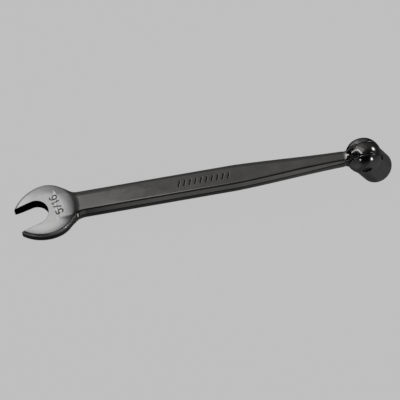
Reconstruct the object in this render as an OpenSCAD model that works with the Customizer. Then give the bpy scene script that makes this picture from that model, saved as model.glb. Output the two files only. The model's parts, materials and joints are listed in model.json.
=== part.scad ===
// Flex-socket combination wrench: an open end at one end of the shank and a
// hinged twelve-point socket at the other.
// Millimetres. The design frame has the hinge axis through its origin along Y,
// the shank along -X and the size-marked face up (+Z). Every sub-part is then
// pitched about Y so that the tool lies on z = 0 on its jaw tip and socket rim.

/* [Open end] */
// Gap between the two jaw faces, across the flats of the nut.
jaw_opening = 8.05; // [7.98:0.01:8.15]
// Angle between the opening and the shank.
jaw_offset = 15; // [0:1:30]
// Distance from the hinge axis to where the opening's centreline meets the shank axis.
jaw_reach = 103.4; // [90:0.1:120]
// Depth of the opening's throat circle centre beyond that crossing.
throat_out = 4.65; // [3:0.05:6]
// Overall width of the head across the opening.
head_width = 17.7; // [15:0.1:20]
// Thickness of the head.
head_thick = 5.0; // [4:0.1:6]
// Radius of the curved outer side of each jaw.
jaw_side_r = 13.5; // [10:0.5:18]
// Sideways shift of the head's round from the opening's centreline, towards the longer jaw.
head_shift = 0.45; // [0:0.05:0.6]
// Edge rounding of the head.
head_edge = 0.7; // [0.3:0.1:1.2]
// Distance from the hinge axis to the curved front trim of the jaw tips.
tip_reach = 116.1; // [105:0.1:120]
// Radius of that front trim.
trim_r = 26; // [18:1:40]

/* [Shank] */
// Width of the shank along its parallel length.
shank_width = 8.8; // [6:0.1:10]
// Thickness of the shank.
shank_thick = 4.1; // [3:0.1:5]
// Corner rounding of the shank section.
shank_edge = 1.15; // [0.5:0.05:1.6]
// Distance from the hinge where the shank starts to narrow.
taper_start = 43; // [30:1:60]
// Width of the shank just before it narrows into the tongue.
neck_width = 5.0; // [4.4:0.1:6]
// Radius of the neck fillet on the side of the longer jaw.
neck_fillet_near = 7.5; // [3:0.1:9]
// Radius of the neck fillet on the other side.
neck_fillet_far = 7.2; // [4:0.1:10]

/* [Hinge] */
// Radius of the ball-shaped envelope shared by the tongue and the two ears.
ball_r = 5.9; // [5:0.05:6.5]
// Width across the flat outer faces of the two ears.
ear_width = 10.8; // [9.6:0.1:11.2]
// Thickness of the tongue between the ears.
tongue_thick = 4.1; // [3:0.1:5]
// Side clearance between the tongue and each ear.
ear_gap = 0.2; // [0.1:0.01:0.4]
// Diameter of the hinge pin.
pin_d = 3.175; // [2.5:0.005:4]
// Radial running clearance of the pin in the tongue.
pin_run = 0.03; // [0.01:0.01:0.1]
// Distance that each pin end sits below the flat face of its ear.
pin_recess = 0.5; // [0.2:0.1:1]
// Angle that the socket hangs below the shank axis at rest.
rest_bend = 62.0; // [0:0.1:90]

/* [Socket] */
// Size across the flats of the twelve-point cavity.
socket_af = 8.0; // [7.95:0.01:8.1]
// Distance from the hinge axis to the mouth of the socket.
socket_reach = 12.5; // [11:0.1:16]
// Outside radius of the socket barrel.
barrel_r = 5.45; // [5.3:0.05:5.8]
// Depth of the twelve-point cavity from the mouth.
cavity_depth = 5.5; // [4:0.1:8]
// Outside rounding of the mouth rim.
mouth_edge = 0.7; // [0.4:0.1:1.0]
// Radial clearance between the tongue's rim and the fork's floor.
floor_gap = 0.3; // [0.2:0.05:0.6]

/* [Friction ball] */
// Diameter of the steel ball that presses on one ear.
ball_d = 1.8; // [1:0.1:2.4]
// Distance of the ball's bore from the hinge axis.
ball_offset = 3.7; // [3:0.1:4.2]
// Wire diameter of the ball's spring.
wire_d = 0.28; // [0.2:0.01:0.4]
// Number of coils in the ball's spring.
spring_turns = 3.5; // [2:0.5:6]

/* [Hidden] */
$fn = 96;

steel = [0.36, 0.35, 0.34];
bright = [0.62, 0.62, 0.62];
dark = [0.24, 0.24, 0.25];

head_r = head_width / 2;
head_out = 0.7;                       // head centre beyond the crossing point
half_t = shank_thick / 2;
half_w = shank_width / 2;
half_n = neck_width / 2;
half_tongue = tongue_thick / 2;
half_slot = half_tongue + ear_gap;
floor_r = ball_r + floor_gap;
head_x = -jaw_reach - head_out * cos(jaw_offset) + head_shift * sin(jaw_offset);
head_y = -head_out * sin(jaw_offset) - head_shift * cos(jaw_offset);
bore_r = ball_d / 2 + 0.05;
bore_floor = 1.55;                    // y of the closed end of the ball's bore

// lowest point of the socket rim in the design frame, and the resting pitch
rim_x = (socket_reach - mouth_edge) * cos(rest_bend) - (barrel_r - mouth_edge) * sin(rest_bend);
rim_z = -(socket_reach - mouth_edge) * sin(rest_bend) - (barrel_r - mouth_edge) * cos(rest_bend);
toe_x = -tip_reach + head_edge;
toe_z = -head_thick / 2 + head_edge;
pitch = atan((toe_z - head_edge - rim_z + mouth_edge) / (rim_x - toe_x));
seat_z = mouth_edge + rim_x * sin(-pitch) - rim_z * cos(pitch);
seat_x = 51.623;
seat_y = 0.695;

// half width of the shank at x on one side: rho is the fillet radius, off the head centre's offset
function fillet_x(rho, off) = head_x + sqrt(pow(head_r + rho, 2) - pow(half_w + rho + off, 2));
function neck_y(x, rho, off) =
    x >= fillet_x(rho, off) ? half_w
    : half_w + rho - sqrt(max(rho * rho - pow(fillet_x(rho, off) - x, 2), 0));
function taper(x) =
    x < -taper_start ? half_w
    : x > -6.5 ? half_n - (half_n - half_tongue + 0.03) * ease((x + 6.5) / 0.9)
    : half_n + (half_w - half_n) * (1 - smooth((x + taper_start) / (taper_start - 6.5)));
function smooth(t) = t <= 0 ? 0 : t >= 1 ? 1 : 0.55 * t + 0.45 * t * t * (3 - 2 * t);
function ease(t) = t <= 0 ? 0 : t >= 1 ? 1 : t * t * (3 - 2 * t);
function near_y(x) = x < -80 ? min(neck_y(x, neck_fillet_near, head_y), 5.6) : taper(x);
function far_y(x) = x < -80 ? min(neck_y(x, neck_fillet_far, -head_y), 5.6) : taper(x);
function half_z(x) = half_t + (head_thick / 2 - 0.02 - half_t) * (1 - ease((x + 98.2) / 6.0));

// closed section of the shank at x: four rounded corners, six points to a corner
function corner(cy, cz, r, a0) = [for (i = [0:5]) [cy + r * cos(a0 + 18 * i), cz + r * sin(a0 + 18 * i)]];
function section(x) =
    let (yn = -near_y(x), yf = far_y(x), z = half_z(x),
         r = min(shank_edge, 0.55 * half_tongue + 0.5 * (yf - 2.2) + 0.02))
    concat(corner(yf - r, z - r, r, 0), corner(yn + r, z - r, r, 90),
           corner(yn + r, -z + r, r, 180), corner(yf - r, -z + r, r, 270));
stations = concat([-99.5, -98.2], [for (i = [0:16]) -97.4 + 0.4 * i],
                  [-89, -80, -70, -60, -50, -43.5], [for (i = [0:12]) -41 + 2.85 * i], [-6.5, -6.05, -5.6, -4.6]);

// a loft through every section of the shank
module shank_loft() {
    n = 24;
    m = len(stations);
    pts = [for (x = stations) each [for (p = section(x)) [x, p[0], p[1]]]];
    walls = [for (i = [0:m - 2], j = [0:n - 1])
        [(i + 1) * n + j, (i + 1) * n + (j + 1) % n, i * n + (j + 1) % n, i * n + j]];
    ends = [[for (j = [0:n - 1]) j], [for (j = [n - 1:-1:0]) (m - 1) * n + j]];
    tris = [for (w = walls) each [[w[0], w[1], w[2]], [w[0], w[2], w[3]]]];
    polyhedron(points = pts, faces = concat(tris, ends));
}

// a flat disc of radius r with rounded edges
module edge_disc(r, t, e) {
    rotate_extrude()
        union() {
            square_half(r - e, t);
            square_half(r, t - 2 * e);
            translate([r - e, t / 2 - e]) circle(r = e, $fn = 32);
            translate([r - e, -t / 2 + e]) circle(r = e, $fn = 32);
        }
}

module square_half(r, t) {
    translate([0, -t / 2]) square([r, t]);
}

// frame whose +X runs out of the opening, centred where its centreline meets the shank axis
module at_jaw() {
    translate([-jaw_reach, 0, 0]) rotate([0, 0, 180 + jaw_offset]) children();
}

module head_blank() {
    at_jaw() translate([head_out, head_shift, 0]) edge_disc(head_r, head_thick, head_edge);
    intersection() {
        at_jaw() translate([head_out, jaw_side_r - head_r + head_shift, 0])
            edge_disc(jaw_side_r, head_thick, head_edge);
        at_jaw() translate([head_out, head_r - jaw_side_r + head_shift, 0])
            edge_disc(jaw_side_r, head_thick, head_edge);
        translate([trim_r - tip_reach, 2, 0]) edge_disc(trim_r, head_thick, head_edge);
        at_jaw() translate([head_out, -10, -4]) cube([14, 20, 8]);
    }
}

module jaw_cut() {
    at_jaw() {
        translate([throat_out, 0, -4]) cylinder(h = 8, r = jaw_opening / 2);
        translate([throat_out, -jaw_opening / 2, -4]) cube([12, jaw_opening, 8]);
    }
}

// fillets between the shank's flat faces and the round tongue, drawn in X-Z
module tongue_fillets() {
    f = 1.3;
    cz = half_t + f;
    cx = -sqrt(pow(ball_r - 0.38 + f, 2) - cz * cz);
    k = (ball_r - 0.38) / (ball_r - 0.38 + f);
    a1 = atan2(cz * (1 - k) * -1, cx * (k - 1));
    pts = concat([[-3, half_t - 0.2], [cx, half_t - 0.2]],
                 [for (i = [0:8]) [cx + f * cos(-90 + (a1 + 90) * i / 8),
                                   cz + f * sin(-90 + (a1 + 90) * i / 8)]], [[-3, cz * k]]);
    for (s = [0, 1])
        mirror([0, 0, s])
            rotate([90, 0, 0]) linear_extrude(height = tongue_thick - 0.5, center = true) polygon(pts);
}

module tongue() {
    intersection() {
        sphere(r = ball_r);
        rotate([90, 0, 0]) cylinder(h = tongue_thick, r = 7, center = true);
    }
    tongue_fillets();
}

// place a sub-part of the design frame at rest on z = 0
module seated() {
    translate([seat_x, seat_y, seat_z]) rotate([0, -pitch, 0]) children();
}

// turn the socket down to its resting angle, its own +X pointing out of the mouth
module bent() {
    rotate([0, rest_bend, 0]) children();
}

module wrench_body() {
    color(steel) seated() difference() {
        union() {
            head_blank();
            shank_loft();
            tongue();
        }
        jaw_cut();
        rotate([90, 0, 0]) cylinder(h = 12, r = pin_d / 2 + pin_run, center = true, $fn = 64);
        translate([-ball_offset, bore_floor, 0]) rotate([90, 0, 0]) cylinder(h = 6, r = bore_r, $fn = 48);
    }
}

module socket_outer() {
    intersection() {
        sphere(r = ball_r);
        cube([14, ear_width, 14], center = true);
    }
    rotate([0, 90, 0]) rotate_extrude() polygon(concat(
        [[0, 0], [barrel_r - 0.4, 0], [barrel_r, 1.2], [barrel_r, socket_reach - mouth_edge]],
        [for (a = [15:15:90]) [barrel_r - mouth_edge + mouth_edge * cos(a),
                               socket_reach - mouth_edge + mouth_edge * sin(a)]],
        [[0, socket_reach]]));
}

module socket_cavity() {
    hex_r = socket_af / 2 / cos(30);
    translate([socket_reach - cavity_depth, 0, 0]) rotate([0, 90, 0]) {
        for (a = [0, 30])
            rotate([0, 0, a]) cylinder(h = cavity_depth + 1, r = hex_r, $fn = 6);
        // broach relief at the floor
        cylinder(h = 0.8, r = hex_r + 0.1, $fn = 64);
    }
    // lead-in at the mouth
    translate([socket_reach - 0.6, 0, 0]) rotate([0, 90, 0])
        cylinder(h = 1.2, r1 = socket_af / 2 - 0.1, r2 = socket_af / 2 + 1.3, $fn = 64);
}

module flex_socket() {
    color(dark) seated() bent() difference() {
        socket_outer();
        rotate([90, 0, 0]) cylinder(h = 2 * half_slot, r = floor_r, center = true);
        translate([-8, -half_slot, -8]) cube([8 + half_t + 0.35, 2 * half_slot, 16]);
        rotate([90, 0, 0]) cylinder(h = 14, r = pin_d / 2, center = true, $fn = 64);
        socket_cavity();
    }
}

module pivot_pin() {
    len_pin = ear_width - 2 * pin_recess;
    color(bright) seated() rotate([90, 0, 0]) {
        cylinder(h = len_pin - 0.5, r = pin_d / 2, center = true, $fn = 64);
        for (s = [0, 1])
            mirror([0, 0, s]) translate([0, 0, len_pin / 2 - 0.25])
                cylinder(h = 0.25, r1 = pin_d / 2, r2 = pin_d / 2 - 0.25, $fn = 64);
    }
}

module friction_ball() {
    color(bright) seated()
        translate([-ball_offset, -half_slot + 0.03 + ball_d / 2, 0]) sphere(r = ball_d / 2, $fn = 48);
}

// coil spring between the ball and the closed end of its bore
module friction_spring() {
    y0 = -half_slot + 0.03 + ball_d + wire_d / 2 - 0.18;
    y1 = bore_floor - 0.05 - wire_d / 2;
    r = bore_r - 0.12 - wire_d / 2;
    steps = 18 * spring_turns;
    sides = 8;
    pts = [for (i = [0:steps], j = [0:sides - 1])
        let (a = 360 * spring_turns * i / steps, b = 360 * j / sides,
             rr = r + wire_d / 2 * cos(b))
        [rr * cos(a), y0 + (y1 - y0) * i / steps + wire_d / 2 * sin(b), rr * sin(a)]];
    tris = [for (i = [0:steps - 1], j = [0:sides - 1])
        let (p = i * sides + j, q = i * sides + (j + 1) % sides)
        each [[p, p + sides, q], [q, p + sides, q + sides]]];
    ends = [[for (j = [0:sides - 1]) j], [for (j = [sides - 1:-1:0]) steps * sides + j]];
    color(bright) seated() translate([-ball_offset, 0, 0])
        polyhedron(points = pts, faces = concat(tris, ends));
}

wrench_body();
flex_socket();
pivot_pin();
friction_ball();
friction_spring();
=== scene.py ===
import json
import math

import bpy
import numpy as np
from mathutils import Matrix, Vector


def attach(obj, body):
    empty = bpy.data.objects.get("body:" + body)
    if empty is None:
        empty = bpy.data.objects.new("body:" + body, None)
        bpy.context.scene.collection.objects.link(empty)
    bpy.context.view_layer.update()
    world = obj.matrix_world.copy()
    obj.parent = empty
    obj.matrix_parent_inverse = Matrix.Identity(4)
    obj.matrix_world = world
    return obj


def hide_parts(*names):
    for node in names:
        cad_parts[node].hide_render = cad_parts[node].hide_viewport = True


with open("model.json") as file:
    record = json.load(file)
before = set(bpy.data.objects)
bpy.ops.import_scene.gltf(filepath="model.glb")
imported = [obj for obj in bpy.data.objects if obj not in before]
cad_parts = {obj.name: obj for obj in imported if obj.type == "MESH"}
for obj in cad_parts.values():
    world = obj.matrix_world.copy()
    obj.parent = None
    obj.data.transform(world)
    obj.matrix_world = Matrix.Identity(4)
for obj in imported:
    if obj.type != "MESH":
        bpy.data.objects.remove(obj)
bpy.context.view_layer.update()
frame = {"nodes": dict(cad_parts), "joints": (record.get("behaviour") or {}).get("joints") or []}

# ---------------------------------------------------------------- the design frame
# Millimetres: hinge axis through the origin along Y, shank along -X, marked face up.
MM = 0.001
PIVOT = Vector(frame["joints"][0]["pos_m"])
PITCH = math.radians(5.309)          # how far the shank is pitched to lie on the floor
SEAT = Matrix.Translation(PIVOT) @ Matrix.Rotation(-PITCH, 4, "Y") @ Matrix.Scale(MM, 4)
SEAT_TURN = Matrix.Rotation(-PITCH, 3, "Y")
BEND = math.radians(62.0)            # how far the socket hangs below the shank

# ---------------------------------------------------------------- sizes, mm
JAW_GAP = 8.05
JAW_TURN = math.radians(15)
JAW_X = -103.4
THROAT = 4.65
HEAD_OUT = 0.7
HEAD_SHIFT = 0.45
HEAD_R = 8.84
HEAD_T = 2.495
SIDE_R = 13.5
FRONT_R = 26.0
FRONT_X = 26.0 - 116.1
FRONT_Y = 2.0
HEAD_EDGE = 0.75
CROWN = 4.0
CROWN_DROP = 0.52
SHANK_W = 4.4
SHANK_T = 2.05
BEVEL_Y = 1.62
BEVEL_Z = 1.2
SIDE_BULGE = 5.0
TAPER_X = -43.0
NECK_W = 2.5
NECK_R_NEAR = 7.5
NECK_R_FAR = 7.2
NECK_END = -80.0
BEVEL_FULL = 3.2                     # half width from which the bevel has its whole size
BALL_R = 5.9
EAR = 5.4
TONGUE = 2.05
SLOT = 2.25
FLOOR_R = 6.2
PIN_R = 1.5875
PIN_RUN = 0.03
BORE_X = -3.7
BORE_R = 0.95
BORE_FLOOR = 1.55
SOCKET_FLAT = 4.0                    # centre of the cavity to one of its flats
MOUTH = 12.48
MOUTH_EDGE = 0.7
BARREL_R = 5.44
CAVITY = 7.0                         # hinge axis to the floor of the cavity
FACE_END = -98.0                     # where the head face's painted sheen starts to give way to the shank's painted shade
FACE_FADE = 3.5


# ---------------------------------------------------------------- distance fields
def smax(a, b, k):
    """The larger of two fields, with a rounded corner about k wide."""
    h = np.maximum(k - np.abs(a - b), 0) / k
    return np.maximum(a, b) + h * h * k * 0.25


def smin(a, b, k):
    return -smax(-a, -b, k)


def ease(t):
    t = np.clip(t, 0, 1)
    return t * t * (3 - 2 * t)


def round_extrude(d, z, half, r):
    """A 2-D field d raised to +-half, its edges rounded by r."""
    a = d + r
    b = np.abs(z) - half + r
    return np.minimum(np.maximum(a, b), 0) + np.hypot(np.maximum(a, 0), np.maximum(b, 0)) - r


def jaw_frame(x, y):
    """p runs out of the opening, q across it."""
    c, s = math.cos(JAW_TURN), math.sin(JAW_TURN)
    return -(x - JAW_X) * c - y * s, (x - JAW_X) * s - y * c


HEAD_C = (JAW_X - HEAD_OUT * math.cos(JAW_TURN) + HEAD_SHIFT * math.sin(JAW_TURN),
          -HEAD_OUT * math.sin(JAW_TURN) - HEAD_SHIFT * math.cos(JAW_TURN))


def neck(x, rho, off):
    """Half width of the shank on one side where it swells into the head."""
    fx = HEAD_C[0] + math.sqrt((HEAD_R + rho) ** 2 - (SHANK_W + rho + off) ** 2)
    r = SHANK_W + rho - np.sqrt(np.maximum(rho * rho - np.maximum(fx - x, 0) ** 2, 0))
    return np.minimum(r, 5.5)


def taper(x):
    """Half width of the shank between the neck and the tongue."""
    t = np.clip((x - TAPER_X) / (-6.5 - TAPER_X), 0, 1)
    return NECK_W + (SHANK_W - NECK_W) * (1 - (0.55 * t + 0.45 * t * t * (3 - 2 * t)))


def head_plan(x, y):
    """Outline of the head before the opening is cut, as a distance in plan."""
    p, q = jaw_frame(x, y)
    off = q - HEAD_SHIFT
    back = np.hypot(p - HEAD_OUT, off) - HEAD_R
    drop = SIDE_R - HEAD_R
    side = smax(np.hypot(p - HEAD_OUT, off - drop) - SIDE_R,
                np.hypot(p - HEAD_OUT, off + drop) - SIDE_R, 0.3)
    front = np.hypot(x - FRONT_X, y - FRONT_Y) - FRONT_R
    plan = np.where(p < HEAD_OUT, back, side)
    return smax(plan, front, 1.6)


def head_top(plan):
    """Half thickness of the head, whose faces fall away towards its outline."""
    return HEAD_T - CROWN_DROP * np.clip((plan + CROWN) / CROWN, 0, 1.15) ** 2


def top(x, y):
    """Half thickness of the tool at a place in plan."""
    return np.maximum(SHANK_T, head_top(head_plan(x, y)))


# size mark: 5/16 in plain single strokes, in a unit of the stroke height
def arc(cx, cy, rx, ry, a0, a1, n=8):
    """Points along an ellipse from angle a0 to a1, in degrees."""
    return [(cx + rx * math.cos(math.radians(a0 + (a1 - a0) * i / n)),
             cy + ry * math.sin(math.radians(a0 + (a1 - a0) * i / n))) for i in range(n + 1)]


GLYPHS = [
    [(1.05, 1.75), (0.15, 1.75), (0.08, 1.02)] + arc(0.52, 0.62, 0.52, 0.60, 125, -150),
    [(1.65, 0.05), (2.35, 1.75)],
    [(2.95, 1.45), (3.25, 1.75), (3.25, 0.0)],
    [(4.95, 1.62), (4.55, 1.78), (4.15, 1.35), (4.02, 0.60)] + arc(4.55, 0.56, 0.53, 0.55, 180, -180, 12),
]
MARK_SIZE = 1.32
MARK_MID = (2.55, 0.88)
MARK_AT = (-101.0, 0.3)
MARK_W = 0.10
MARK_DEEP = 0.06
# plain unlettered engraving on the shank: a row of slanted bars
BARS = [[(-9.0 + 1.8 * i, -0.85), (-8.3 + 1.8 * i, 0.85)] for i in range(10)]
BAR_AT = (-52.5, 0.35)
BAR_W = 0.22


def segments(x, y, lines):
    """Distance in plan to the nearest of some polylines."""
    d = np.full(x.shape, 9.0, dtype=np.float32)
    for line in lines:
        for (ax, ay), (bx, by) in zip(line[:-1], line[1:]):
            vx, vy = bx - ax, by - ay
            t = np.clip(((x - ax) * vx + (y - ay) * vy) / (vx * vx + vy * vy), 0, 1)
            d = np.minimum(d, np.hypot(x - ax - t * vx, y - ay - t * vy))
    return d


def marks(x, y):
    """Distance in plan to the nearest engraved stroke, and its half width."""
    out = np.full(x.shape, 9.0, dtype=np.float32)
    m = (np.abs(x - MARK_AT[0]) < 4.5) & (np.abs(y - MARK_AT[1]) < 5.5)
    if m.any():
        p, q = jaw_frame(x[m] - MARK_AT[0] + JAW_X, y[m] - MARK_AT[1])
        s = -q / MARK_SIZE + MARK_MID[0]
        h = p / MARK_SIZE + MARK_MID[1]
        out[m] = segments(s, h, GLYPHS) * MARK_SIZE - MARK_W
    m = (np.abs(x - BAR_AT[0]) < 13) & (np.abs(y - BAR_AT[1]) < 2)
    if m.any():
        out[m] = np.minimum(out[m], segments(x[m] - BAR_AT[0], y[m] - BAR_AT[1], BARS) - BAR_W)
    return out


def body_field(x, y, z):
    """The forging without its engraving: head, shank and tongue, less the pin hole and bore."""
    p, q = jaw_frame(x, y)
    plan = head_plan(x, y)
    head = round_extrude(plan, z, head_top(plan), HEAD_EDGE)
    gap = np.where(p < THROAT, np.hypot(p - THROAT, q), np.abs(q)) - JAW_GAP / 2
    # shank
    w = np.where(y < 0, neck(x, NECK_R_NEAR, HEAD_C[1]), neck(x, NECK_R_FAR, -HEAD_C[1]))
    w = np.where(x > NECK_END, taper(x), w)
    ay, az = np.abs(y), np.abs(z)
    bev = np.minimum(1.0, w / BEVEL_FULL)
    by, bz = BEVEL_Y * bev, BEVEL_Z * (0.55 + 0.45 * bev)
    n = np.hypot(by, bz)
    slope = ((ay - w) * bz + (az - SHANK_T + bz) * by) / n
    r = SIDE_BULGE
    side = np.hypot(np.maximum(ay - w + r, 0), az) - r
    shank = smax(smax(side, az - SHANK_T, 0.3), slope, 0.3)
    shank = np.maximum(shank, np.maximum(-100.0 - x, x + 4.0))
    d = smin(head, shank, 1.6)
    d = smax(d, -gap, 0.16)
    # tongue, blended into the shank and kept clear of the ears
    ball = np.sqrt(x * x + y * y + z * z) - BALL_R
    lump = smax(ball, ay - TONGUE, 0.2)
    d = smin(d, lump, 1.5)
    keep = ay - TONGUE - np.maximum(-6.4 - x, 0) * 0.7
    d = smax(d, keep, 0.15)
    d = np.where(x > -4.5, np.maximum(d, ball), d)
    d = smax(d, -(np.hypot(x, z) - PIN_R - PIN_RUN), 0.1)
    bore = np.maximum(np.hypot(x - BORE_X, z) - BORE_R, y - BORE_FLOOR)
    return smax(d, -bore, 0.05)


def body_marked(x, y, z):
    """The forging with the engraving cut into its top."""
    d = body_field(x, y, z)
    up = z > 1.2
    if up.any():
        cut = d.copy()
        zt = top(x[up], y[up])
        g = np.maximum(marks(x[up], y[up]), zt - MARK_DEEP - z[up])
        cut[up] = smax(d[up], -g, 0.05)
        d = cut
    return d


def socket_field(t, y, s):
    """t runs out of the mouth, s across in the hinge's own plane."""
    rad = np.hypot(y, s)
    ears = smax(np.sqrt(t * t + rad * rad) - BALL_R, np.abs(y) - EAR, 0.7)
    a = rad - BARREL_R + MOUTH_EDGE
    b = t - MOUTH + MOUTH_EDGE
    tube = np.minimum(np.maximum(a, b), 0) + np.hypot(np.maximum(a, 0), np.maximum(b, 0)) - MOUTH_EDGE
    d = smin(ears, smax(tube, -t, 0.6), 0.25)
    slot = smax(np.abs(y) - SLOT, smin(np.hypot(t, s) - FLOOR_R, t - 2.4, 0.3), 0.2)
    d = smax(d, -slot, 0.22)
    d = smax(d, -(np.hypot(t, s) - PIN_R), 0.22)
    hexes = []
    for turn in (0, 30):
        ways = [math.radians(turn + k) for k in (0, 60, 120)]
        across = [np.abs(y * math.cos(w) + s * math.sin(w)) for w in ways]
        hexes.append(np.maximum.reduce(across) - SOCKET_FLAT)
    star = np.minimum(hexes[0], hexes[1])
    relief = np.where(t < CAVITY + 0.8, rad - SOCKET_FLAT / math.cos(math.pi / 6) - 0.1, 9.0)
    cav = smax(np.minimum(star, relief), CAVITY - t, 0.1)
    cone = (rad - (SOCKET_FLAT - 0.1) - (t - MOUTH + 0.6) * 1.17) * 0.65
    cav = np.minimum(cav, smax(cone, MOUTH - 1.5 - t, 0.1))
    return smax(d, -cav, 0.1)


# ---------------------------------------------------------------- surface from a field
def polygonise(field, xs, ys, zs):
    """Surface nets over a rectilinear grid, then settled onto the field itself."""
    xs, ys, zs = (np.asarray(a, dtype=np.float32) for a in (xs, ys, zs))
    v = field(*np.meshgrid(xs, ys, zs, indexing="ij"))
    inside = v < 0
    count = sum(inside[i:inside.shape[0] - 1 + i, j:inside.shape[1] - 1 + j,
                       k:inside.shape[2] - 1 + k].astype(np.uint8)
                for i in (0, 1) for j in (0, 1) for k in (0, 1))
    cells = np.argwhere((count > 0) & (count < 8))
    ids = np.full(count.shape, -1, dtype=np.int32)
    ids[tuple(cells.T)] = np.arange(len(cells))
    total = np.zeros((len(cells), 3))
    hits = np.zeros(len(cells))
    corners = [(i, j, k) for i in (0, 1) for j in (0, 1) for k in (0, 1)]
    grid = (xs, ys, zs)
    for a in corners:
        for axis in range(3):
            if a[axis]:
                continue
            b = tuple(1 if n == axis else a[n] for n in range(3))
            ia, ib = cells + a, cells + b
            va, vb = v[tuple(ia.T)], v[tuple(ib.T)]
            cross = (va < 0) != (vb < 0)
            t = np.where(cross, va / np.where(cross, va - vb, 1), 0)
            pa = np.stack([grid[n][ia[:, n]] for n in range(3)], 1)
            pb = np.stack([grid[n][ib[:, n]] for n in range(3)], 1)
            total += np.where(cross[:, None], pa + (pb - pa) * t[:, None], 0)
            hits += cross
    pts = total / hits[:, None]
    quads = []
    for axis in range(3):
        lo = [slice(None)] * 3
        hi = [slice(None)] * 3
        lo[axis], hi[axis] = slice(None, -1), slice(1, None)
        flip = inside[tuple(lo)] != inside[tuple(hi)]
        e = np.argwhere(flip)
        u, w = (axis + 1) % 3, (axis + 2) % 3
        e = e[(e[:, u] > 0) & (e[:, w] > 0) & (e[:, u] < count.shape[u]) & (e[:, w] < count.shape[w])]
        around = []
        for du, dw in ((-1, -1), (0, -1), (0, 0), (-1, 0)):
            c = e.copy()
            c[:, u] += du
            c[:, w] += dw
            around.append(ids[tuple(c.T)])
        quad = np.stack(around, 1)
        out = inside[tuple(e.T)]
        quad[~out] = quad[~out][:, ::-1]
        quads.append(quad)
    quads = np.concatenate(quads)
    eps = 0.02
    for _ in range(4):
        p = pts.astype(np.float64)
        f = field(*p.T)
        g = np.stack([field(*(p + d).T) - field(*(p - d).T) for d in np.eye(3) * eps], 1) / (2 * eps)
        step = f / np.maximum((g * g).sum(1), 0.2)
        pts = p - g * np.clip(step, -0.05, 0.05)[:, None]
    return pts, quads


def make_mesh(name, pts, quads, turn):
    """A Blender mesh of those quads, carried from design millimetres to the row frame."""
    m = np.array(SEAT @ turn)
    world = pts @ m[:3, :3].T + m[:3, 3]
    me = bpy.data.meshes.new(name)
    me.vertices.add(len(world))
    me.vertices.foreach_set("co", world.astype(np.float32).ravel())
    me.loops.add(quads.size)
    me.loops.foreach_set("vertex_index", quads.astype(np.int32).ravel())
    me.polygons.add(len(quads))
    me.polygons.foreach_set("loop_start", np.arange(0, quads.size, 4, dtype=np.int32))
    me.update(calc_edges=True)
    me.validate()
    me.polygons.foreach_set("use_smooth", np.ones(len(me.polygons), dtype=bool))
    ob = bpy.data.objects.new(name, me)
    bpy.context.collection.objects.link(ob)
    return ob


def attribute(ob, name, values):
    a = ob.data.attributes.new(name, "FLOAT", "POINT")
    a.data.foreach_set("value", np.asarray(values, dtype=np.float32))


def steps(*stops):
    """Grid lines: a start, then pairs of (end, spacing)."""
    out = [stops[0]]
    for end, gap in stops[1:]:
        n = max(1, round((end - out[-1]) / gap))
        out += list(np.linspace(out[-1], end, n + 1)[1:])
    return out


FINE = 0.13
BAR_STEP = 0.16
COARSE = 0.5
body_pts, body_quads = polygonise(
    body_marked,
    steps(-116.5, (-92, FINE), (-66, COARSE), (-40, BAR_STEP), (-9, COARSE), (6.2, FINE)),
    steps(-9.7, (9.7, FINE)), steps(-6.2, (6.2, FINE)))
body = make_mesh("forged_wrench_body", body_pts, body_quads, Matrix.Identity(4))
bx, by, bz = body_pts.T
# painted light and shade on the surface: a painted sheen on the head face, painted black shade on the jaw
# walls and in the engraving, painted shade along the darker plate
jaw_p, jaw_q = jaw_frame(bx, by)
cut = np.where(jaw_p < THROAT, np.hypot(jaw_p - THROAT, jaw_q), np.abs(jaw_q)) - JAW_GAP / 2
# painted shade: the walls of the jaw opening are made near black and lose their reflection
jaw_wall_shade = (1 - ease((cut - 0.03) / 0.15)) * (bx < -96)
fade = 1 - ease((bx - FACE_END) / FACE_FADE)
# painted sheen: the head's flat faces get a bright base colour, the rest of the body a darker one
face_sheen_mask = ease((np.abs(bz) - 1.0) / 0.8) * fade * (1 - jaw_wall_shade)
attribute(body, "face_sheen", face_sheen_mask)
# painted shade in the engraved strokes, which are made near black
mark_shade = np.where(bz > 1.2, ease(1 - (marks(bx, by) + 0.05) / 0.12), 0)
attribute(body, "mark_shade", mark_shade)
# painted shade on the jaw walls and in the engraving, which takes away their reflection below
attribute(body, "painted_black_shade", np.maximum(jaw_wall_shade, mark_shade))
# painted light and shade along the body: darker towards the head end, much darker on the tongue, near
# black on the head's side walls and jaw walls, and a painted highlight on the shank's near bevel
tongue = ease((bx + 9.5) / 4.0)
side = (1 - ease((np.abs(bz) - 1.0) / 0.6)) * fade
shade = (0.72 + 0.28 * ease((bx + 92.0) / 18.0)) * (1 - tongue) + 0.7 * tongue
near_bevel_sheen = ease((-by - 0.5 * taper(bx)) / 0.5) * ease((bx + 48.0) / 25.0) * (1 - tongue)
attribute(body, "painted_light_shade", shade * (1 - 0.8 * np.maximum(side, jaw_wall_shade)) * (1 + 0.3 * near_bevel_sheen))

FINER = FINE * 0.8
sock_pts, sock_quads = polygonise(
    socket_field,
    steps(-6.2, (12.8, FINER)), steps(-6.2, (6.2, FINER)), steps(-6.2, (6.2, FINER)))
socket = make_mesh("flex_socket_shell", sock_pts, sock_quads, Matrix.Rotation(BEND, 4, "Y"))
attribute(socket, "inside", ease((sock_pts[:, 0] - CAVITY + 0.2) / 0.2)
          * (np.hypot(sock_pts[:, 1], sock_pts[:, 2]) < 5.0))


# ---------------------------------------------------------------- materials
def material(name):
    m = bpy.data.materials.new(name)
    m.use_nodes = True
    nt = m.node_tree
    nt.nodes.clear()
    out = nt.nodes.new("ShaderNodeOutputMaterial")
    bsdf = nt.nodes.new("ShaderNodeBsdfPrincipled")
    nt.links.new(bsdf.outputs[0], out.inputs[0])
    return m, nt, bsdf


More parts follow.
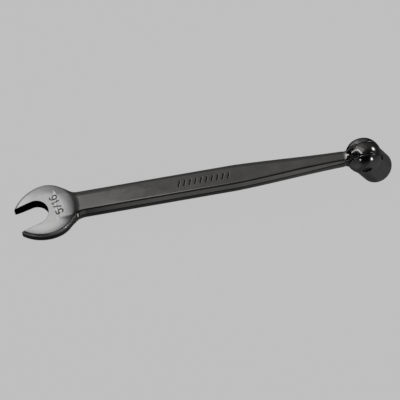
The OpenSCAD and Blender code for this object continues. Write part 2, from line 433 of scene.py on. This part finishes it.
def noise(nt, coord, scale, detail=4.0, rough=0.55, distort=0.0):
    n = nt.nodes.new("ShaderNodeTexNoise")
    n.inputs["Scale"].default_value = scale
    n.inputs["Detail"].default_value = detail
    n.inputs["Roughness"].default_value = rough
    n.inputs["Distortion"].default_value = distort
    nt.links.new(coord, n.inputs["Vector"])
    return n.outputs["Fac"]


def ramp(nt, fac, *stops):
    r = nt.nodes.new("ShaderNodeValToRGB")
    els = r.color_ramp.elements
    while len(els) < len(stops):
        els.new(0.5)
    for e, (pos, c) in zip(els, stops):
        e.position = pos
        e.color = (c, c, c, 1) if isinstance(c, float) else (*c, 1)
    nt.links.new(fac, r.inputs[0])
    return r.outputs[0]


def mix(nt, fac, a, b, blend="MIX"):
    n = nt.nodes.new("ShaderNodeMix")
    n.data_type = "RGBA"
    n.blend_type = blend
    for label, val in (("Factor", fac), ("A", a), ("B", b)):
        kinds = ("RGBA", "VALUE") if label == "Factor" else ("RGBA",)
        s = [i for i in n.inputs if i.name == label and i.type in kinds][0]
        if isinstance(val, (float, int)):
            s.default_value = val if s.type == "VALUE" else (val, val, val, 1)
        elif isinstance(val, tuple):
            s.default_value = (*val, 1)
        else:
            nt.links.new(val, s)
    return [o for o in n.outputs if o.type == "RGBA"][0]


def attr(nt, name):
    a = nt.nodes.new("ShaderNodeAttribute")
    a.attribute_name = name
    return a.outputs["Fac"]


def coords(nt, scale=(1, 1, 1)):
    tc = nt.nodes.new("ShaderNodeTexCoord")
    mp = nt.nodes.new("ShaderNodeMapping")
    mp.inputs["Scale"].default_value = scale
    nt.links.new(tc.outputs["Object"], mp.inputs["Vector"])
    return mp.outputs["Vector"]


def bump(nt, bsdf, height, strength, dist):
    b = nt.nodes.new("ShaderNodeBump")
    b.inputs["Strength"].default_value = strength
    b.inputs["Distance"].default_value = dist
    nt.links.new(height, b.inputs["Height"])
    nt.links.new(b.outputs[0], bsdf.inputs["Normal"])


def body_chrome():
    m, nt, bsdf = material("satin_chrome_painted_light_shade")
    bsdf.inputs["Metallic"].default_value = 1.0
    blot = noise(nt, coords(nt, (1, 1.6, 1)), 160, 4, 0.6, 0.4)
    grain = noise(nt, coords(nt, (60, 900, 900)), 1.0, 3, 0.6)
    sheen_fac = attr(nt, "face_sheen")
    # one chrome in two copies: a painted-shade copy for the plate and a painted-sheen copy for the head
    # faces
    plate_tone_and_shade = ramp(nt, blot, (0.30, (0.29, 0.28, 0.275)), (0.55, (0.33, 0.322, 0.316)),
                (0.75, (0.38, 0.366, 0.356)))
    painted_face_sheen = ramp(nt, blot, (0.3, (0.80, 0.80, 0.80)), (0.7, (0.86, 0.86, 0.855)))
    # painted light and shade multiplied into the plate colour
    plate_tone_and_shade = mix(nt, 1.0, plate_tone_and_shade, attr(nt, "painted_light_shade"), "MULTIPLY")
    col = mix(nt, sheen_fac, plate_tone_and_shade, painted_face_sheen)
    # painted shade: the engraved strokes are made near black
    col = mix(nt, attr(nt, "mark_shade"), col, (0.022, 0.020, 0.016))
    nt.links.new(col, bsdf.inputs["Base Color"])
    # painted shade: the jaw walls and engraved strokes lose nearly all reflection
    nt.links.new(mix(nt, attr(nt, "painted_black_shade"), 1.0, 0.04), bsdf.inputs["Specular Tint"])
    rough = ramp(nt, blot, (0.3, 0.11), (0.7, 0.17))
    rough = mix(nt, sheen_fac, rough, 0.25)
    rough = mix(nt, attr(nt, "mark_shade"), rough, 0.42)
    nt.links.new(rough, bsdf.inputs["Roughness"])
    bump(nt, bsdf, mix(nt, 0.5, blot, grain), 0.12, 0.00004)
    return m


def socket_chrome():
    m, nt, bsdf = material("polished_chrome_socket")
    bsdf.inputs["Metallic"].default_value = 1.0
    blot = noise(nt, coords(nt), 220, 3, 0.5, 0.3)
    col = ramp(nt, blot, (0.3, (0.34, 0.335, 0.34)), (0.7, (0.42, 0.42, 0.425)))
    col = mix(nt, attr(nt, "inside"), col, (0.22, 0.22, 0.225))
    nt.links.new(col, bsdf.inputs["Base Color"])
    rough = ramp(nt, blot, (0.3, 0.10), (0.7, 0.17))
    rough = mix(nt, attr(nt, "inside"), rough, 0.32)
    nt.links.new(rough, bsdf.inputs["Roughness"])
    bump(nt, bsdf, blot, 0.05, 0.00003)
    return m


def plain_steel(name, lo, hi, r0, r1):
    m, nt, bsdf = material(name)
    bsdf.inputs["Metallic"].default_value = 1.0
    blot = noise(nt, coords(nt), 900, 3, 0.5)
    nt.links.new(ramp(nt, blot, (0.3, lo), (0.7, hi)), bsdf.inputs["Base Color"])
    nt.links.new(ramp(nt, blot, (0.3, r0), (0.7, r1)), bsdf.inputs["Roughness"])
    bump(nt, bsdf, blot, 0.08, 0.00002)
    return m


body.data.materials.append(body_chrome())
socket.data.materials.append(socket_chrome())
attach(body, "wrench_body")
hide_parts("wrench_body")
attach(socket, "flex_socket")
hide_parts("flex_socket")
PLAIN = (
    ("pivot_pin", "dark_pin_steel", (0.10, 0.10, 0.10), (0.16, 0.16, 0.165), 0.35, 0.5),
    ("friction_ball", "ball_steel", (0.62, 0.62, 0.63), (0.72, 0.72, 0.73), 0.08, 0.15),
    ("friction_spring", "spring_wire", (0.38, 0.38, 0.39), (0.5, 0.5, 0.5), 0.25, 0.4),
)
for node, *look in PLAIN:
    ob = frame["nodes"][node]
    ob.data.materials.clear()
    ob.data.materials.append(plain_steel(*look))

# ---------------------------------------------------------------- stage
FLOOR_HALF, FLOOR_Z = 3.0, -0.0004
floor_me = bpy.data.meshes.new("studio_floor")
floor_corners = [(sx * FLOOR_HALF, sy * FLOOR_HALF, FLOOR_Z)
                 for sx, sy in ((-1, -1), (1, -1), (1, 1), (-1, 1))]
floor_me.from_pydata(floor_corners, [], [(0, 1, 2, 3)])
floor = bpy.data.objects.new("studio_floor", floor_me)
bpy.context.collection.objects.link(floor)
fm, _, fb = material("pale_floor")
fb.inputs["Base Color"].default_value = (0.03, 0.03, 0.03, 1)
fb.inputs["Roughness"].default_value = 1.0
fb.inputs["Specular IOR Level"].default_value = 0.0
fb.inputs["Emission Color"].default_value = (0.533, 0.533, 0.533, 1)
fb.inputs["Emission Strength"].default_value = 0.97
floor.data.materials.append(fm)
floor.visible_glossy = False
floor.visible_shadow = False


def direction(v):
    return SEAT_TURN @ Vector(v).normalized()


def panel(name, toward, size, radiance, dist=0.7, aim=(-52, 0, 0), along=None, grid=None,
          only=None):
    """A soft box: radiance is what a mirror would show. A grid keeps its light on what it aims at,
    and a flag keeps it off everything but one piece."""
    target = SEAT @ Vector(aim)
    d = direction(toward)
    li = bpy.data.lights.new(name, "AREA")
    li.shape = "RECTANGLE"
    li.size, li.size_y = size
    li.energy = radiance * math.pi * size[0] * size[1]
    if grid:
        half = math.radians(grid)
        li.spread = 2 * half
        li.energy *= 1 - half / math.tan(half)
    ob = bpy.data.objects.new(name, li)
    bpy.context.collection.objects.link(ob)
    ob.location = target + d * dist
    side = direction(along) if along else Vector((0, 0, 1)).cross(d)
    side = (side - d * side.dot(d)).normalized()
    ob.rotation_euler = Matrix((side, d.cross(side), d)).transposed().to_euler()
    ob.visible_camera = False
    if only:
        flagged = bpy.data.collections.new(name + "_lit")
        flagged.objects.link(only)
        ob.light_linking.receiver_collection = flagged
    return ob


def seam(name, start, end, width, radiance, count=6, dist=0.5):
    """A thin line of light between two directions, seen from the hinge only."""
    a, b = Vector(start).normalized(), Vector(end).normalized()
    piece = (b - a).length * dist / count
    for i in range(count):
        way = a.lerp(b, (i + 0.5) / count)
        panel("%s_%d" % (name, i), way, (piece, width), radiance, dist=dist, aim=(0, 0, 0),
              along=b - a, grid=8)


# two soft boxes over the head face, then a panel for the shank's near bevel, then the small
# lamps whose highlights show on the hinge and the neck
panel("head_softbox", (-0.28, 0.42, 0.87), (0.36, 0.60), 0.49, aim=(-104, 0, 2.5))
panel("head_softbox_wide", (-0.28, 0.42, 0.87), (0.36, 0.80), 0.44, aim=(-104, 0, 2.5))
panel("bevel_panel", (0.0, -0.75, 0.66), (0.225, 0.2), 0.19, dist=0.5, aim=(17, 0, 0), only=body)
panel("right_strip", (0.858, 0.251, 0.448), (0.20, 0.30), 7.0, aim=(0, 0, 0), grid=12)
panel("right_front", (0.63, -0.68, 0.38), (0.13, 0.22), 5.0, aim=(0, 0, 0), grid=10)
panel("neck_light", (0.93, -0.30, 0.20), (0.09, 0.14), 3.0, dist=0.5, aim=(-94, -6, 0), grid=5,
      only=body)
panel("left_front", (-0.54, -0.66, 0.52), (0.08, 0.08), 4.0, aim=(0, 0, 0), grid=8)
seam("seam_long", (-0.91, 0.39, 0.13), (-0.54, 0.40, 0.74), 0.045, 4.0)
seam("seam_short", (-0.54, 0.40, 0.74), (-0.29, -0.19, 0.94), 0.045, 4.0)

# soft lobes of the surrounding tent: direction, cosines where it starts and is full, radiance
TENT = (
    ((0.0, 0.42, 0.90), 0.45, 0.90, 0.035),
    ((0.0, 0.42, 0.90), 0.88, 0.985, 0.095),
    ((0.31, 0.77, 0.56), 0.72, 0.93, 0.065),
    ((-0.38, 0.91, -0.15), 0.90, 0.97, 0.25),
    ((0.085, 0.985, -0.15), 0.90, 0.97, 0.095),
    ((-0.31, 0.83, 0.47), 0.85, 0.95, 0.14),
    ((0.10, -0.60, -0.80), 0.10, 0.70, 0.05),
    ((0.94, -0.19, -0.28), 0.33, 0.60, 0.045),
    ((-0.85, -0.45, -0.25), 0.60, 0.90, 0.06),
)
TENT_DARK = 0.004

world = bpy.data.worlds.new("studio")
bpy.context.scene.world = world
world.use_nodes = True
wt = world.node_tree
ray = wt.nodes.new("ShaderNodeTexCoord").outputs["Generated"]
glow = None
for way, start, full, radiance in TENT:
    dot = wt.nodes.new("ShaderNodeVectorMath")
    dot.operation = "DOT_PRODUCT"
    dot.inputs[1].default_value = direction(way)
    wt.links.new(ray, dot.inputs[0])
    lobe = wt.nodes.new("ShaderNodeMapRange")
    lobe.interpolation_type = "SMOOTHSTEP"
    limits = {"From Min": start, "From Max": full, "To Min": 0.0, "To Max": radiance}
    for label, value in limits.items():
        lobe.inputs[label].default_value = value
    wt.links.new(dot.outputs["Value"], lobe.inputs["Value"])
    add = wt.nodes.new("ShaderNodeMath")
    add.operation = "ADD"
    add.inputs[1].default_value = TENT_DARK
    wt.links.new(lobe.outputs["Result"], add.inputs[0])
    if glow is not None:
        wt.links.new(glow, add.inputs[1])
    glow = add.outputs["Value"]
wt.links.new(glow, wt.nodes["Background"].inputs["Color"])
bpy.context.scene.view_settings.view_transform = "Standard"

# ---------------------------------------------------------------- camera
AZ, EL, ROLL = math.radians(11.4), math.radians(64.5), math.radians(0.48)
DIST, LENS = 450.0, 125.0
AIM_RIGHT, AIM_UP = math.radians(0.293), math.radians(-0.714)
TARGET = Vector((-52, 0, 0))
back = Vector((-math.sin(AZ) * math.cos(EL), -math.cos(AZ) * math.cos(EL), math.sin(EL)))
right = Vector((math.cos(AZ), -math.sin(AZ), 0))
up = back.cross(right)
right, up = (right * math.cos(ROLL) + up * math.sin(ROLL), up * math.cos(ROLL) - right * math.sin(ROLL))
turn = Matrix((right, up, back)).transposed()
aim = Matrix.Rotation(AIM_RIGHT, 3, "Y") @ Matrix.Rotation(AIM_UP, 3, "X")
cam_data = bpy.data.cameras.new("camera")
cam_data.sensor_width = 36.0
cam_data.lens = LENS
cam_data.clip_start = 0.01
cam = bpy.data.objects.new("camera", cam_data)
bpy.context.collection.objects.link(cam)
pose = (SEAT_TURN @ turn @ aim).to_4x4()
pose.translation = SEAT @ (TARGET + back * DIST)
cam.matrix_world = pose
bpy.context.scene.camera = cam
